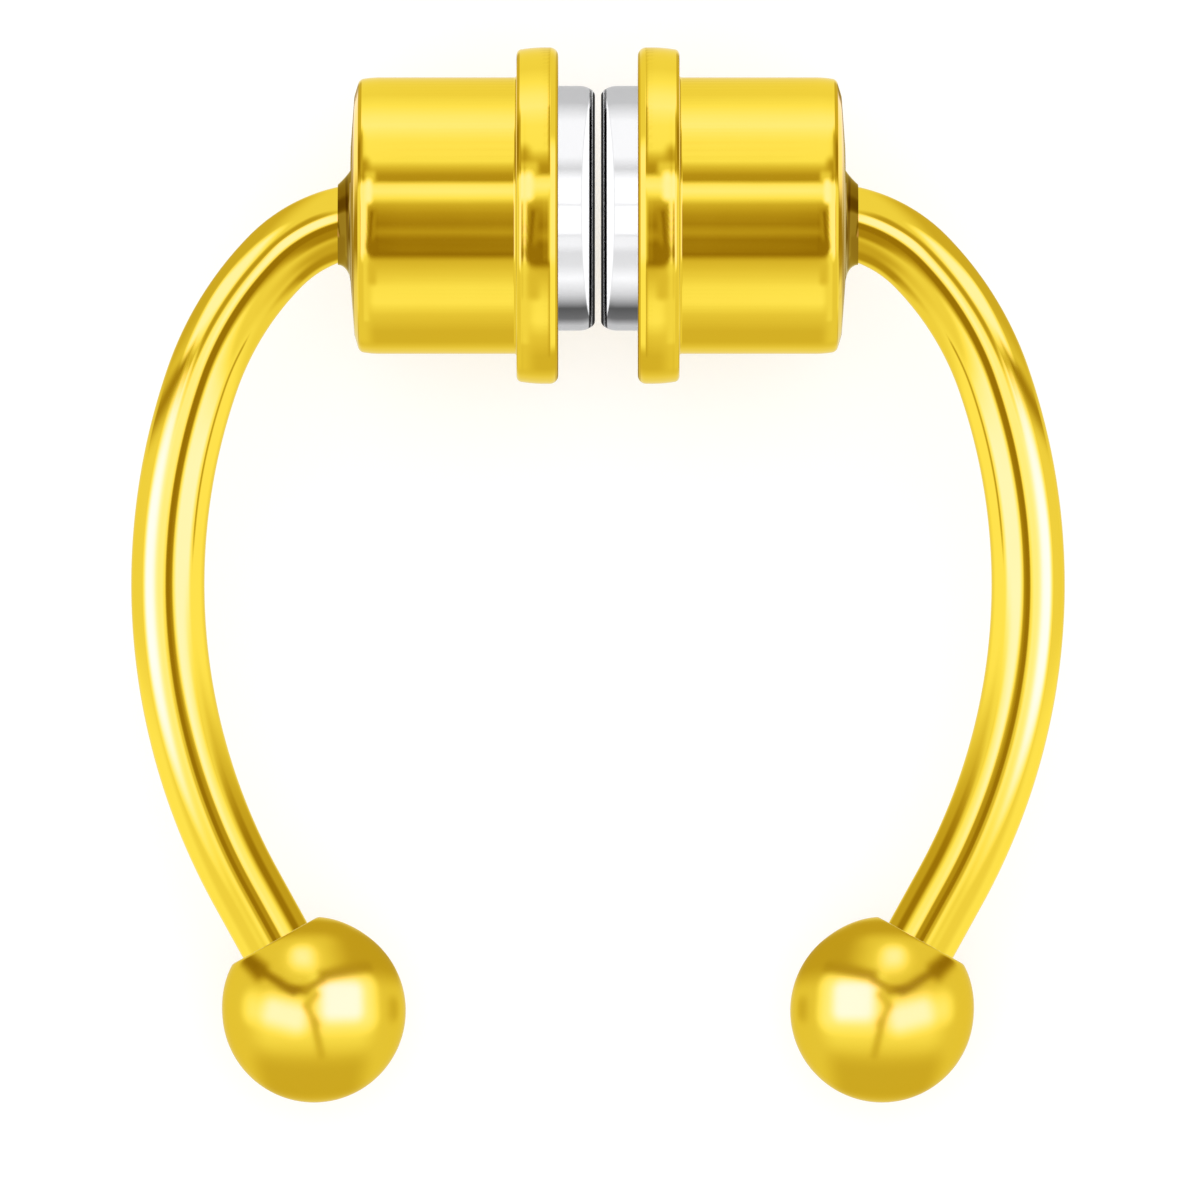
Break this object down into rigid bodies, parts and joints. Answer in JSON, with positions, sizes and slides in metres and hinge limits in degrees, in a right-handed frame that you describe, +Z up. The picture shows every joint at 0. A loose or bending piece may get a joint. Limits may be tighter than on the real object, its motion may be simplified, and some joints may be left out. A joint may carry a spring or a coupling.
{
  "type": "magnetic nose ring",
  "caption": "False septum ring: flanged magnet cups that clamp face to face, each with a bent horseshoe bar ending in a screw-on ball.",
  "frame": {"origin": "centre of the footprint, on the surface that the ring lies on", "axes": "+X along the shared axis of the cups and magnets, from the left half to the right half; +Y from the balls towards the cups; +Z up"},
  "size_m": [0.0152, 0.0172, 0.0055],
  "materials": {
    "gold_steel": "polished",
    "nickel_plate": "polished"
  },
  "bodies": {
    "left_half": {"left_cup": "gold_steel", "left_magnet": "nickel_plate", "left_bar": "gold_steel"},
    "right_magnet": {"right_magnet": "nickel_plate"},
    "right_half": {"right_cup": "gold_steel", "right_bar": "gold_steel"},
    "left_ball": {"left_ball": "gold_steel"},
    "right_ball": {"right_ball": "gold_steel"}
  },
  "joints": [
    {"name": "halves_part", "type": "slide", "parent": "left_half", "child": "right_magnet", "axis": [1, 0, 0], "range_m": [0, 0.01], "stiffness_N_per_m": 2, "springref_m": -0.012},
    {"name": "halves_swivel", "type": "hinge", "parent": "right_magnet", "child": "right_half", "pos_m": [0, 0.00596, 0.00276], "axis": [1, 0, 0], "continuous": true},
    {"name": "left_ball_unscrew", "type": "slide", "parent": "left_half", "child": "left_ball", "axis": [0.4833, -0.8714, -0.0842], "range_m": [0, 0.003]},
    {"name": "right_ball_unscrew", "type": "slide", "parent": "right_half", "child": "right_ball", "axis": [-0.4833, -0.8714, -0.0842], "range_m": [0, 0.003]}
  ]
}
